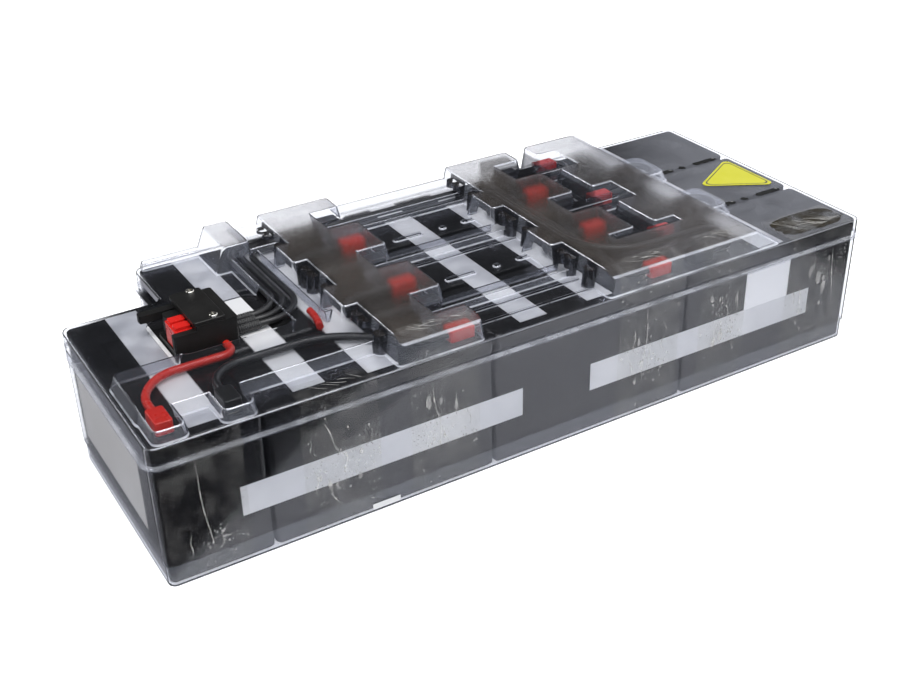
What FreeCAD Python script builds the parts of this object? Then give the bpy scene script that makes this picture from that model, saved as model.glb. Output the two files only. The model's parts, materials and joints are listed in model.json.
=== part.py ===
import FreeCAD, Part
import math
import os
from FreeCAD import Vector

# Battery cartridge: ten sealed lead-acid batteries in a clear vacuum-formed clamshell.
# Millimetres, +Z up.  The model is laid out from the front left corner of the battery
# block (x to the right, y to the back) and moved to its bottom centre when it is written.

# ---------------------------------------------------------------- driving dimensions
battery_length = 151.0
battery_width = 65.0
battery_height = 94.0
cover_height = 9.0              # heat-sealed cover on top of the container
cover_lip = 0.35                # the cover stands this far proud of the container
battery_corner = 3.5
foot_chamfer = 2.2              # bottom edge of the container
column_gap = 0.5                # between the columns, end to end
row_gap = 4.7                   # between the rows, where the lid dimples reach down
row_count = 3
column_count = 3                # columns of lengthways batteries, beside the turned one

terminal_inset_end = 11.5       # tab centre from the short end
terminal_inset_side = 12.5      # tab centre from the long side
tab_width = 6.35
tab_thickness = 0.8
tab_height = 7.4
well_length = 13.0
well_width = 11.0
well_depth = 1.2

sheet = 0.8                     # thickness of the formed clear sheet
drawn_sheet = 0.5               # sheet thinned where a pocket is drawn down
film = 0.15                     # thickness of tapes, straps and labels
seat_gap = 0.03                 # clearance under a film that lies on the clamshell
base_clearance = 0.1            # under the batteries
floor_clearance = 0.3           # between the batteries and the lid
flange_width = 3.0
plinth_height = 14.8
plinth_margin = 1.1             # outer face of the plinth beyond the batteries
wall_margin = 2.2               # outer face of the wall just above the plinth
rim_margin = 2.6                # outer face of both shells at the flange
shell_corner = 3.8              # corner radius of the shells at zero margin
bottom_round = 1.5
seam_drop = 12.4                # parting plane of the clamshell below the lid's floor

# heights of the lid's forms above its floor
root_depth = 4.0                # they start this far below it, inside the lid's body
dome_rise = 17.0                # cable domes
platform_rise = 9.0             # low cable platform, terminal bumps and ducts
link_rise = 11.0                # duct from the corner block to the first dome
corner_block_rise = 18.5
back_ridge_rise = 8.5
back_step_rise = 4.0
rim_ridge_rise = 5.0
rib_rise = 5.5
flute_rise = 13.0
loop_cover_rise = 8.5
pad_rise = 1.2
bead_rise = 0.7

front_margin = 1.0              # dome fronts and backs stand this far beyond the batteries
front_lean = 0.9                # spread of the dome fronts and backs over their height
dome_lean = 3.5                 # spread of the other dome walls
dome_corner = 3.2
dome_edge = 1.6                 # radius along the crown of a dome
low_edge = 1.0                  # the same on the lower forms
floor_edge = 1.5
bevel_reach = 11.0              # the crowns slope down towards the front over this length
bevel_drop = 2.5
bevel_nose = 1.3                # flat at 45 degrees under the slope
terminal_cover = 2.1            # dome beyond the line of the terminals
lobe_half = 20.5                # half length of a lobe over a pair of terminals
bay_half = 14.5                 # bays for the series loops
bay_shift = 1.5
bay_depth = 9.0
notch_depth = 21.5
spine_width = 33.0              # plain width of a dome between its notches and its bays
slope_run = 31.0                # long right wall of the third dome
cross_dome_back = 39.0          # the second and third domes are one up to here
flute_radius = 4.3
flute_spread = 1.4
flute_offsets = (-12.0, 8.0, 17.0)
ducts = ((1, 8.05, 5.25), (2, 6.1, 8.0))    # row, centre behind its middle, half width
loop_cover_half = 17.0
loop_cover_reach = 28.4         # beyond the top of the long slope
bump_half = 9.5                 # half width of the bumps over the first terminals
platform_left = 3.5
platform_front = 21.0
lead_cover = 4.5                # platform behind the red lead
ridge_left = 117.5              # partition ridge over the leads
lead_side = 3.9                 # first lead inside the ridge's left wall
corner_left = 113.0             # corner block at the notch of the pack
corner_right = 131.0
corner_front = 166.0
rim_ridge_width = 6.4
back_ridge_width = 28.2
rib_centres = (43.5, 117.5)
rib_half = 6.0
bead_lines = (15.0, 30.0, 103.0)
bead_width = 2.6
pad_shift = 9.0
pad_half = 2.5
pad_spans = ((20.9, 43.9), (57.9, 62.9), (75.9, 92.9))      # from the first dome
dimple_depth = 5.5
dimple_mouth = 2.0              # half width of a dimple at the floor
dimple_foot = 1.3
long_dimple = 14.9              # it starts at the foot of the long slope
round_dimple = 5.0
round_dimple_start = 21.4       # from the foot of the slope
end_dimple_start = 35.4
end_dimple_margin = 9.5         # from the right end
window_left = 42.0              # opening in the lid around the connector
window_right = 118.0
window_overlap = 3.0            # of the opening into the platform's back
window_back = 131.0
window_corner = 10.0

connector_left = 58.0
connector_front = 74.5
connector_length = 26.0
connector_width = 43.0
connector_height = 20.35
plate_thickness = 2.5
plate_length = 20.0
screw_radius = 1.4
red_entry = 17.0                # red lead from the connector's left face
lead_front = 86.0               # foremost black lead at the connector

strap_width = 20.0
cable_diameter = 5.0
thin_diameter = 4.2             # leads that share the back ridge
cable_clearance = 0.1
lead_clearance = 0.25           # leads above the batteries in the back ridge
tab_clearance = 0.1
boot_length = 17.0
boot_width = 10.5
boot_height = 7.6
boot_nose = 2.5                 # boot in front of its tab
boot_grip = 4.0                 # cable held inside the boot
boot_round = 1.6
boot_lift = 0.4                 # underside of a boot above the battery cover
lead_pitch = 6.2                # spacing of the leads that leave the connector
lead_count = 3
loop_reach = 41.0               # bow of the series loops beyond their boots
loop_shift = 5.0                # the last ones sag towards the back
red_run = 62.0                  # line of the red lead in front of the connector
link_run = 51.0                 # line of the link lead under the platform

# straps and films laid on by hand; places are from the left end unless they say otherwise
first_strap = (35.0, 8.0)
strap_lines = ((0, 32.5, 10.0), (0, 77.5, 5.0), (1, 32.0, 6.0), (1, 82.5, 6.0),
               (2, 72.5, 0.8))  # column, centre from its left side, front end
strap_back = 1.2                # rear ends of the straps in from the back
front_straps = ((46.8, 190.6), (289.9, 190.9))      # left end and length
front_strap_low = 31.5
front_label_left = 420.0
front_label_width = 39.6
front_label_height = 28.4
end_label_front = 30.0
end_label_width = 112.0
end_label_low = 22.0
end_label_height = 53.0
sticker_margin = 5.5            # from the right end
sticker_length = 49.5
sticker_half = 28.5
sticker_shift = 0.3             # behind the middle of the pack
tape_low = 2.0
plain_tapes = ((0.5, 50.0, 0.0), (85.0, 135.0, 14.0), (456.0, 515.0, 30.0))
dome_tapes = ((156.0, 204.0, 13.0), (310.0, 360.0, 13.0), (378.0, 418.0, 13.0))

# ---------------------------------------------------------------- derived layout
battery_base = sheet + base_clearance
battery_top = battery_base + battery_height
floor_height = battery_top + floor_clearance + sheet
seam_height = floor_height - seam_drop
root_height = floor_height - root_depth
dome_height = floor_height + dome_rise
platform_height = floor_height + platform_rise

row_pitch = battery_width + row_gap
column_pitch = battery_length + column_gap
first_column = battery_width + column_gap
pack_length = first_column + column_count * column_pitch - column_gap
pack_width = row_count * row_pitch - row_gap
ORIGIN = Vector(pack_length / 2, pack_width / 2, 0)
column_left = [first_column + i * column_pitch for i in range(column_count)]
column_right = [left + battery_length for left in column_left]
row_front = [i * row_pitch for i in range(row_count)]
gap_centre = [battery_width + row_gap / 2 + i * row_pitch for i in range(-1, row_count)]
inner_gaps = gap_centre[1:-1]
front = -front_margin
back = pack_width + front_margin

# the domes follow the ends of the columns, where the terminals are
dome_a_lobe = column_right[0] - terminal_inset_end + terminal_cover
dome_a_notch = dome_a_lobe - notch_depth
dome_a_plain = dome_a_notch - spine_width
dome_b_lobe = column_right[1] - terminal_inset_end + terminal_cover
dome_b_notch = dome_b_lobe - notch_depth
dome_b_plain = dome_b_notch - spine_width
dome_c_lobe = column_left[2] + terminal_inset_end - terminal_cover - 2.8
dome_c_notch = dome_c_lobe + notch_depth - 5.0
slope_top = dome_c_notch + spine_width - 3.0
slope_foot = slope_top + slope_run
loop_cover_right = slope_top + loop_cover_reach
platform_back = red_run + cable_diameter / 2 + lead_cover
window_front = platform_back - window_overlap
duct_centre = [row_front[row] + battery_width / 2 + shift for row, shift, half in ducts]
dimple_spans = ((slope_foot, slope_foot + long_dimple),
                (slope_foot + round_dimple_start,
                 slope_foot + round_dimple_start + round_dimple),
                (slope_foot + end_dimple_start, pack_length - end_dimple_margin))

connector_base = battery_top + film + base_clearance
connector_top = connector_base + connector_height
connector_right = connector_left + connector_length
connector_back = connector_front + connector_width
red_entry_x = connector_left + red_entry
screw_points = ((connector_left + 12.5, connector_front + 3.6),
                (connector_left + 11.5, connector_back - 4.4))

# lines and levels of the leads
cable_level = battery_top + boot_lift + boot_height / 2
lead_line = [lead_front + i * lead_pitch for i in reversed(range(lead_count))]
turn_x = [ridge_left + lead_side + i * lead_pitch for i in range(lead_count)]
turn_y = [pack_width - terminal_inset_side - i * lead_pitch for i in range(lead_count)]
ridge_right = turn_x[-1] + cable_diameter / 2 + 1.7
ridge_front = pack_width - back_ridge_width
ridge_lead_y = ridge_front + sheet + thin_diameter / 2 + 0.3
ridge_lead_z = battery_top + thin_diameter / 2 + lead_clearance
upper_ridge_y = ridge_lead_y + 2.6
upper_ridge_z = ridge_lead_z + thin_diameter + cable_clearance
cross_lead_z = dome_height - sheet - thin_diameter / 2 - 0.8    # lead to the third dome
spine_lead_z = cross_lead_z - thin_diameter - 0.3               # lead to the second dome
cross_lead_x = dome_b_plain + 8.9
spine_lead_x = dome_b_plain + 18.9
jumper_y = duct_centre[-1] + 0.2


# ---------------------------------------------------------------- shape helpers
def write(name, shape):
    """Move a finished piece to the part's frame and write it as one STEP file."""
    os.makedirs("parts", exist_ok=True)
    placed = shape.copy()
    placed.translate(ORIGIN * -1)
    placed.exportStep("parts/" + name + ".step")


def box(x0, x1, y0, y1, z0, z1):
    return Part.makeBox(x1 - x0, y1 - y0, z1 - z0, Vector(x0, y0, z0))


def rounded_wire(points, corner, z, grow=0.0):
    """Closed counter-clockwise outline whose corners are arcs tangent to the sides.

    Outer corners have the radius corner + grow and inner corners corner - grow, so that
    outlines grown from one another stay concentric."""
    count = len(points)
    arcs = []
    starts = []
    ends = []
    for i in range(count):
        here = Vector(points[i][0], points[i][1], z)
        before = Vector(points[i - 1][0], points[i - 1][1], z)
        after = Vector(points[(i + 1) % count][0], points[(i + 1) % count][1], z)
        to_before = (before - here).normalize()
        to_after = (after - here).normalize()
        inner_corner = to_before.cross(to_after).z > 0
        radius = max(corner - grow if inner_corner else corner + grow, 0.2)
        half = to_before.getAngle(to_after) / 2
        reach = radius / math.tan(half)
        middle = (to_before + to_after).normalize()
        centre = here + middle * (radius / math.sin(half))
        starts.append(here + to_before * reach)
        ends.append(here + to_after * reach)
        arcs.append(Part.Arc(starts[i], centre - middle * radius, ends[i]).toShape())
    loop = []
    for i in range(count):
        loop.append(arcs[i])
        loop.append(Part.LineSegment(ends[i], starts[(i + 1) % count]).toShape())
    return Part.Wire(loop)


def rectangle(x0, x1, y0, y1):
    return [(x0, y0), (x1, y0), (x1, y1), (x0, y1)]


def prism(points, radius, z0, z1):
    face = Part.Face(rounded_wire(points, radius, z0))
    return face.extrude(Vector(0, 0, z1 - z0))


def edges_at(shape, z):
    return [e for e in shape.Edges if all(abs(v.Z - z) < 1e-4 for v in e.Vertexes)]


def uprights(shape):
    return [e for e in shape.Edges if abs(e.Vertexes[0].Z - e.Vertexes[1].Z) > 0.1]


def pack_outline(margin):
    """Outline of the battery block, grown by a margin, with its notch at the back left."""
    right = pack_length + margin
    back = pack_width + margin
    notch_x = first_column - margin
    notch_y = battery_length + margin
    return [(-margin, -margin), (right, -margin), (right, back),
            (notch_x, back), (notch_x, notch_y), (-margin, notch_y)]


def cable(points, diameter):
    """Round cable along straight runs joined by tangent arcs; also gives its arc radii."""
    edges = []
    radii = []
    start = points[0]
    for i in range(1, len(points) - 1):
        run_in = points[i] - points[i - 1]
        run_out = points[i + 1] - points[i]
        half_turn = run_in.getAngle(run_out) / 2
        if half_turn < 0.001:
            continue
        radius = 0.45 * min(run_in.Length, run_out.Length) / math.tan(half_turn)
        reach = radius * math.tan(half_turn)
        into = Vector(run_in).normalize()
        out = Vector(run_out).normalize()
        arc_start = points[i] - into * reach
        arc_end = points[i] + out * reach
        inward = (out - into).normalize()
        arc_middle = points[i] + inward * (radius / math.cos(half_turn) - radius)
        edges.append(Part.LineSegment(start, arc_start).toShape())
        edges.append(Part.Arc(arc_start, arc_middle, arc_end).toShape())
        start = arc_end
        radii.append(round(radius, 1))
    edges.append(Part.LineSegment(start, points[-1]).toShape())
    path = Part.Wire(edges)
    circle = Part.makeCircle(diameter / 2, points[0], points[1] - points[0])
    return path.makePipeShell([Part.Wire(circle)], True, False), radii


# ---------------------------------------------------------------- batteries
def battery_placements():
    """Corner, turn and name of every battery; the turned one stands at the front left."""
    places = [("battery_01", Vector(0, 0, 0), True, False)]
    number = 2
    for column in range(column_count):
        flipped = column == column_count - 1
        for row in range(row_count):
            corner = Vector(column_left[column], row_front[row], 0)
            places.append(("battery_%02d" % number, corner, False, flipped))
            number += 1
    return places


def terminal_points(corner, turned, flipped):
    """Positive and negative tab centres; terminals lie at one short end of the battery."""
    near = terminal_inset_side
    far = battery_width - terminal_inset_side
    end = terminal_inset_end
    if turned:
        return corner + Vector(near, end, 0), corner + Vector(far, end, 0)
    if flipped:
        return corner + Vector(end, far, 0), corner + Vector(end, near, 0)
    end = battery_length - terminal_inset_end
    return corner + Vector(end, near, 0), corner + Vector(end, far, 0)


def battery(corner, turned, tabs):
    size_x = battery_width if turned else battery_length
    size_y = battery_length if turned else battery_width
    x, y = corner.x, corner.y
    split = battery_top - cover_height
    lip = cover_lip
    container = prism(rectangle(x + lip, x + size_x - lip, y + lip, y + size_y - lip),
                      battery_corner, battery_base, split)
    container = container.makeChamfer(foot_chamfer, edges_at(container, battery_base))
    cover = prism(rectangle(x, x + size_x, y, y + size_y), battery_corner, split, battery_top)
    cover = cover.makeChamfer(0.8, edges_at(cover, battery_top))
    shape = container.fuse(cover)
    for tab in tabs:
        half_x = (well_width if turned else well_length) / 2
        half_y = (well_length if turned else well_width) / 2
        shape = shape.cut(box(tab.x - half_x, tab.x + half_x, tab.y - half_y, tab.y + half_y,
                              battery_top - well_depth, battery_top + 1))
    # vent plate let into the cover, with its narrow joint left open all round
    plate_x = size_x * 0.30
    plate_y = size_y * 0.30
    middle_x = x + size_x / 2
    middle_y = y + size_y / 2
    joint = 0.5
    outer = box(middle_x - plate_x, middle_x + plate_x, middle_y - plate_y,
                middle_y + plate_y, battery_top - joint, battery_top + 1)
    inner = box(middle_x - plate_x + joint, middle_x + plate_x - joint,
                middle_y - plate_y + joint, middle_y + plate_y - joint,
                battery_top - joint - 1, battery_top + 2)
    return shape.cut(outer.cut(inner)).removeSplitter()


def tab(point, turned):
    """Upright flat tab standing in its well."""
    along_x = tab_width if turned else tab_thickness
    along_y = tab_thickness if turned else tab_width
    floor = battery_top - well_depth
    return box(point.x - along_x / 2, point.x + along_x / 2, point.y - along_y / 2,
               point.y + along_y / 2, floor, floor + tab_height)


# ---------------------------------------------------------------- terminals and cables
def boot(point, direction, turned):
    """Insulating boot over a tab, its cable leaving along the direction."""
    side = Vector(-direction.y, direction.x, 0) * (boot_width / 2)
    nose = Vector(point.x, point.y, cable_level) - direction * boot_nose
    tail = nose + direction * boot_length
    corners = [nose - side, tail - side, tail + side, nose + side]
    low = cable_level - boot_height / 2
    high = cable_level + boot_height / 2
    body = prism([(c.x, c.y) for c in corners], boot_round, low, high)
    body = body.makeFillet(boot_round / 2, edges_at(body, high))
    slot = tab(point, turned).BoundBox
    slot.enlarge(tab_clearance)
    body = body.cut(box(slot.XMin, slot.XMax, slot.YMin, slot.YMax, slot.ZMin, slot.ZMax))
    socket = Part.makeCylinder(cable_diameter / 2 + cable_clearance, boot_grip + 1,
                               tail - direction * boot_grip, direction)
    return body.cut(socket)


def level(x, y):
    return Vector(x, y, cable_level)


def cable_start(point, direction):
    """Where a cable begins, inside the mouth of its boot."""
    reach = boot_length - boot_nose - boot_grip + cable_clearance
    return level(point.x, point.y) + direction * reach


def loop_points(first, second, direction, shift):
    """Route of a jumper between neighbouring batteries, bowed away from the terminals."""
    start = cable_start(first, direction)
    end = cable_start(second, direction)
    lead_in = direction * (boot_grip + 6)
    bow = direction * loop_reach + Vector(0, shift, 0)
    return [start, start + lead_in, start + bow, end + bow, end + lead_in, end]


# ---------------------------------------------------------------- formed clear sheet
def offset_outline(points, distance):
    """Counter-clockwise outline with every side moved outwards by the distance."""
    moved = []
    count = len(points)
    for i in range(count):
        before = Vector(points[i - 1][0], points[i - 1][1], 0)
        here = Vector(points[i][0], points[i][1], 0)
        after = Vector(points[(i + 1) % count][0], points[(i + 1) % count][1], 0)
        into = (here - before).normalize()
        out = (after - here).normalize()
        normal_in = Vector(into.y, -into.x, 0)
        normal_out = Vector(out.y, -out.x, 0)
        step = (normal_in + normal_out) * (distance / (1 + normal_in.dot(normal_out)))
        moved.append((here.x + step.x, here.y + step.y))
    return moved


def level_wire(points, corner, grow, z):
    """Rounded outline at one level, grown from the nominal one."""
    return rounded_wire(offset_outline(points, grow), corner, z, grow)


def frustum(base, top, z0, z1):
    """Solid with flat sides between two outlines whose matching sides are parallel."""
    low = [Vector(x, y, z0) for x, y in base]
    high = [Vector(x, y, z1) for x, y in top]
    faces = [Part.Face(Part.makePolygon(low[::-1] + low[-1:])),
             Part.Face(Part.makePolygon(high + high[:1]))]
    for i in range(len(low)):
        side = [low[i - 1], low[i], high[i], high[i - 1], low[i - 1]]
        faces.append(Part.Face(Part.makePolygon(side)))
    shell = Part.makeShell(faces)
    shell.sewShape()
    return Part.makeSolid(shell)


def raised(base, top, z0, top_z, corner, edge, inset):
    """Formed bump from a base outline up to a top outline.  The inset form is the inner
    face of the sheet, so its outer corners and its crown have smaller radii."""
    crown = top_z - inset
    solid = frustum(offset_outline(base, -inset), offset_outline(top, -inset), z0, crown)
    solid = solid.makeFillet(max(corner - inset, 0.3), uprights(solid))
    if edge > 0:
        solid = solid.makeFillet(max(edge - inset, 0.25), edges_at(solid, crown))
    return solid


def block(x0, x1, y0, y1, top_z, inset, lean, corner=3.0, edge=1.0):
    """Rectangular bump.  The lean gives how far the left, right, front and back walls
    spread towards their base."""
    left, right, front, back = lean
    base = rectangle(x0 - left, x1 + right, y0 - front, y1 + back)
    return raised(base, rectangle(x0, x1, y0, y1), root_height, top_z, corner, edge, inset)


# ---------------------------------------------------------------- lid
def terminal_dome(plain, notch, lobe, spine_lean, inset):
    """Cable dome over the end of a column of batteries.

    Its spine runs the whole width between the plain side and the notches.  Lobes reach
    over each pair of terminals."""
    facing = 1 if lobe > notch else -1
    spine_left, spine_right = sorted((plain, notch))
    parts = [block(spine_left, spine_right, front, back, dome_height, inset,
                   (spine_lean[0], spine_lean[1], front_lean, front_lean),
                   dome_corner, dome_edge)]
    for centre in gap_centre:
        y0 = max(centre - lobe_half, front)
        y1 = min(centre + lobe_half, back)
        spread = (dome_lean if facing < 0 else 0.0,
                  dome_lean if facing > 0 else 0.0,
                  front_lean if y0 == front else dome_lean,
                  front_lean if y1 == back else dome_lean)
        x0, x1 = sorted((notch - facing * 8, lobe))
        parts.append(block(x0, x1, y0, y1, dome_height, inset, spread, dome_corner, dome_edge))
    return parts


def bays_and_flutes(plain, inset):
    """Bays for the series loops on a dome's plain side, and stiffening flutes between."""
    parts = []
    for centre in inner_gaps:
        middle = centre + bay_shift
        parts.append(block(plain - bay_depth, plain + 8, middle - bay_half,
                           middle + bay_half, dome_height, inset,
                           (dome_lean, 0, dome_lean, dome_lean), dome_corner, dome_edge))
    for row in row_front:
        for offset in flute_offsets:
            foot = Vector(plain - flute_radius / 2, row + battery_width / 2 + offset,
                          root_height)
            if foot.y < pack_width - 2 * flute_radius:
                parts.append(Part.makeCone(flute_radius + flute_spread - inset,
                                           flute_radius - inset,
                                           root_depth + flute_rise - inset, foot))
    return parts


def cable_domes(inset):
    """The three domes, their bays, the covers on the long slope and the cable ducts."""
    both = (dome_lean, dome_lean)
    forms = terminal_dome(dome_a_plain, dome_a_notch, dome_a_lobe, both, inset)
    forms += terminal_dome(dome_b_plain, dome_b_notch, dome_b_lobe, both, inset)
    forms += terminal_dome(slope_top, dome_c_notch, dome_c_lobe, (dome_lean, slope_run), inset)
    forms += bays_and_flutes(dome_a_plain, inset)
    forms += bays_and_flutes(dome_b_plain, inset)
    # the second and third domes are one across the front
    forms.append(block(dome_b_plain + 2, slope_top - 2, front, cross_dome_back, dome_height,
                       inset, (dome_lean, dome_lean, front_lean, front_lean),
                       dome_corner, dome_edge))
    for centre in inner_gaps:
        middle = centre + loop_shift
        forms.append(block(slope_top - 20, loop_cover_right, middle - loop_cover_half,
                           middle + loop_cover_half, floor_height + loop_cover_rise, inset,
                           (0, 5, 5, 5), 9.0, 2.5))
    for centre, (row, shift, half) in zip(duct_centre, ducts):
        forms.append(block(dome_b_notch - 5, dome_c_notch + 5, centre - half, centre + half,
                           platform_height, inset, (0, 0, 0.8, 0.8), 1.5, low_edge))
    return forms


def left_end_forms(inset):
    """Bumps over the first terminals, cable platform, partition ridge and corner block."""
    forms = []
    for x in (terminal_inset_side, battery_width - terminal_inset_side):
        forms.append(block(x - bump_half, x + bump_half, front, platform_front + 6,
                           platform_height, inset, (2, 2, front_lean, 0), 5.0, dome_edge))
    forms.append(block(platform_left, dome_a_plain + 6, platform_front, platform_back,
                       platform_height, inset, (platform_left + 1, 0, 2, 3), 6.0, low_edge))
    forms.append(block(ridge_left, ridge_right, platform_back - 8, corner_front + 8,
                       platform_height, inset, (2.5, 2.5, 0, 0), 3.0, low_edge))
    forms.append(block(corner_left, corner_right, corner_front, back,
                       floor_height + corner_block_rise, inset,
                       (9, 2, 2, front_lean), 3.0, low_edge))
    forms.append(block(corner_right - 6, dome_a_plain + 6, corner_front + 3, back,
                       floor_height + link_rise, inset, (0, 0, 2, front_lean), 3.0, low_edge))
    forms.append(block(first_column + 2, corner_left, pack_width - rim_ridge_width, back,
                       floor_height + rim_ridge_rise, inset, (2, 0, 1, front_lean),
                       3.0, low_edge))
    return forms


def recess_forms(inset):
    """Back ridge with its step, and the ribs, beads and pads of the middle recess."""
    left = dome_a_notch
    right = dome_b_plain
    forms = [block(left - 5, right + 5, ridge_front, back, floor_height + back_ridge_rise,
                   inset, (0, 0, 2.2, front_lean), 2.0, low_edge),
             block(left, right + 2, ridge_front - 3.2, back - 8,
                   floor_height + back_step_rise, inset, (0, 0, 1, 0), 2.0, 0.6)]
    for centre in rib_centres:
        forms.append(block(left - 3, right + 4, centre - rib_half, centre + rib_half,
                           floor_height + rib_rise, inset, (0, 0, 1.2, 1.2), 1.5, 0.8))
    for y in bead_lines:
        forms.append(block(dome_a_lobe, right + 4, y, y + bead_width,
                           floor_height + bead_rise, inset, (0, 0, 0.4, 0.4), 1.2, 0.0))
    for centre in inner_gaps:
        middle = centre + pad_shift
        for x0, x1 in pad_spans:
            forms.append(block(dome_a_lobe + x0, dome_a_lobe + x1, middle - pad_half,
                               middle + pad_half, floor_height + pad_rise, inset,
                               (1, 1, 1, 1), 2.4, 0.6))
    return forms


def bevel_profile():
    """Front of a dome's crown, outer face: back of the slope, its foot, and the nose."""
    foot = Vector(0, front + bevel_nose, dome_height - bevel_drop)
    nose = foot + Vector(0, -bevel_nose, -bevel_nose)
    return [Vector(0, front + bevel_reach, dome_height), foot, nose]


def crown_cutter(inset):
    """What is cut from the fronts of the dome crowns; inset makes it that of the inner
    face, so that the sheet keeps its thickness over the slope and the nose."""
    top, foot, nose = bevel_profile()
    past = (nose - foot) * 3
    shift = Vector(dome_a_plain - 8, inset * (math.sqrt(2) - 1), -inset)
    outline = [top, foot, foot + past, Vector(0, (foot + past).y, dome_height + 5),
               Vector(0, top.y, dome_height + 5)]
    outline = [p + shift for p in outline]
    face = Part.Face(Part.makePolygon(outline + outline[:1]))
    return face.extrude(Vector(slope_top - dome_a_plain + 18, 0, 0))


def dimples(inset):
    """Pockets that reach down between the batteries.  The inner face of the sheet is let
    out by the thinner, drawn thickness."""
    thinning = drawn_sheet if inset > 0 else 0.0
    pockets = []
    for centre in inner_gaps:
        for x0, x1 in dimple_spans:
            mouth = rectangle(x0, x1, centre - dimple_mouth, centre + dimple_mouth)
            foot = rectangle(x0 + 1, x1 - 1, centre - dimple_foot, centre + dimple_foot)
            pocket = frustum(offset_outline(foot, thinning), offset_outline(mouth, thinning),
                             floor_height - dimple_depth - thinning, floor_height + 0.2)
            pockets.append(pocket.makeFillet(dimple_foot * 0.9, uprights(pocket)))
    return pockets


def lid_body(inset):
    """The lid as a solid form; two of them, one inset by the sheet, make the shell."""
    outline = offset_outline(pack_outline(0), rim_margin)
    body = raised(outline, outline, seam_height - inset, floor_height,
                  shell_corner + rim_margin, floor_edge, inset)
    body = body.multiFuse(cable_domes(inset) + left_end_forms(inset) + recess_forms(inset))
    body = body.cut(crown_cutter(inset))
    for pocket in dimples(inset):
        body = body.cut(pocket)
    return body


def flange(z):
    """Flat rim of one half of the clamshell, open inside the wall."""
    rim = Part.Face(level_wire(pack_outline(0), shell_corner, rim_margin + flange_width, z))
    rim = rim.extrude(Vector(0, 0, sheet))
    hole = Part.Face(level_wire(pack_outline(0), shell_corner, rim_margin - sheet, z - 1))
    return rim.cut(hole.extrude(Vector(0, 0, sheet + 2)))


def lid():
    shell = lid_body(0.0).cut(lid_body(sheet))
    shell = shell.fuse(flange(seam_height))
    opening = prism(rectangle(window_left, window_right, window_front, window_back),
                    window_corner, battery_top, dome_height)
    return shell.cut(opening).removeSplitter()


def tray():
    """Lower half: a plinth with a rounded bottom edge, a small ledge and a drafted wall."""
    levels = [(0.0, plinth_margin - bottom_round), (0.2, plinth_margin - bottom_round * 0.5),
              (0.75, plinth_margin - bottom_round * 0.13), (bottom_round, plinth_margin),
              (plinth_height - 0.4, plinth_margin), (plinth_height + 0.6, wall_margin),
              (seam_height, rim_margin)]
    outer = [level_wire(pack_outline(0), shell_corner, m, z) for z, m in levels]
    inner = []
    for z, margin in levels:
        lift = sheet if z < plinth_height / 2 else 0.0
        top = 1.0 if z == seam_height else 0.0
        inner.append(level_wire(pack_outline(0), shell_corner, margin - sheet, z + lift + top))
    shell = Part.makeLoft(outer, True, True).cut(Part.makeLoft(inner, True, True))
    return shell.fuse(flange(seam_height - sheet)).removeSplitter()


# ---------------------------------------------------------------- connector
def connector_body():
    """Battery side of the pack connector: a block with two guide cheeks and a mouth."""
    left = connector_left
    low = connector_base
    top = connector_top
    root = left + 2
    block_body = prism(rectangle(left, connector_right, connector_front, connector_back),
                       1.5, low, top)
    cheek = prism(rectangle(left - 14, root, connector_front, connector_front + 5), 1.2,
                  low, top - 3)
    finger = prism(rectangle(left - 22, root, connector_back - 6, connector_back), 1.2,
                   top - 9, top - 4)
    middle = prism(rectangle(left - 9, root, connector_front + 26, connector_back - 8), 1.2,
                   low + 3, top - 4)
    base_plate = prism(rectangle(left - 12, root, connector_front + 1, connector_back - 7),
                       1.2, low, low + 3.4)
    body = block_body.multiFuse([cheek, finger, middle, base_plate])
    socket_radius = cable_diameter / 2 + cable_clearance
    for y in lead_line:
        body = body.cut(Part.makeCylinder(socket_radius, boot_grip + 1,
                                          Vector(connector_right - boot_grip, y, cable_level),
                                          Vector(1, 0, 0)))
    body = body.cut(Part.makeCylinder(socket_radius, boot_grip + 1,
                                      Vector(red_entry_x, connector_front - 1, cable_level),
                                      Vector(0, 1, 0)))
    for x, y in screw_points:
        body = body.cut(Part.makeCylinder(screw_radius, 6.0, Vector(x, y, top - 6.0)))
    return body.removeSplitter()


def red_insert():
    """Red keyed contact block in the mouth of the connector, with two raised keys."""
    x1 = connector_left - 0.1
    y0 = connector_front + 6
    core = prism(rectangle(x1 - 11, x1, y0, y0 + 18), 1.2, connector_base + 3.6,
                 connector_top - 3.5)
    keys = [prism(rectangle(x1 - 10, x1 - 0.5, y0 + s, y0 + s + 6.5), 1.0,
                  connector_top - 4.5, connector_top - 1.5) for s in (1.5, 10.0)]
    return core.multiFuse(keys).removeSplitter()


def cover_plate():
    left = connector_left - 1
    top = connector_top + plate_thickness
    plate = prism(rectangle(left, left + plate_length, connector_front + 0.5,
                            connector_back - 0.5), 2.0, connector_top, top)
    plate = plate.makeChamfer(0.4, edges_at(plate, top))
    for x, y in screw_points:
        plate = plate.cut(Part.makeCylinder(screw_radius, 9.0, Vector(x, y, connector_top - 2)))
    return plate


def screw(x, y):
    """Pan head screw with a cross recess, through the plate into the body."""
    seat = connector_top + plate_thickness
    shank = Part.makeCylinder(screw_radius, plate_thickness + 5.5,
                              Vector(x, y, connector_top - 5.5))
    head = Part.makeCylinder(screw_radius * 1.9, 1.5, Vector(x, y, seat))
    head = head.makeFillet(0.6, edges_at(head, seat + 1.5))
    cross = box(x - 1.6, x + 1.6, y - 0.3, y + 0.3, seat + 0.8, seat + 2)
    cross = cross.fuse(box(x - 0.3, x + 0.3, y - 1.6, y + 1.6, seat + 0.8, seat + 2))
    return shank.fuse(head).cut(cross).removeSplitter()


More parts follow.
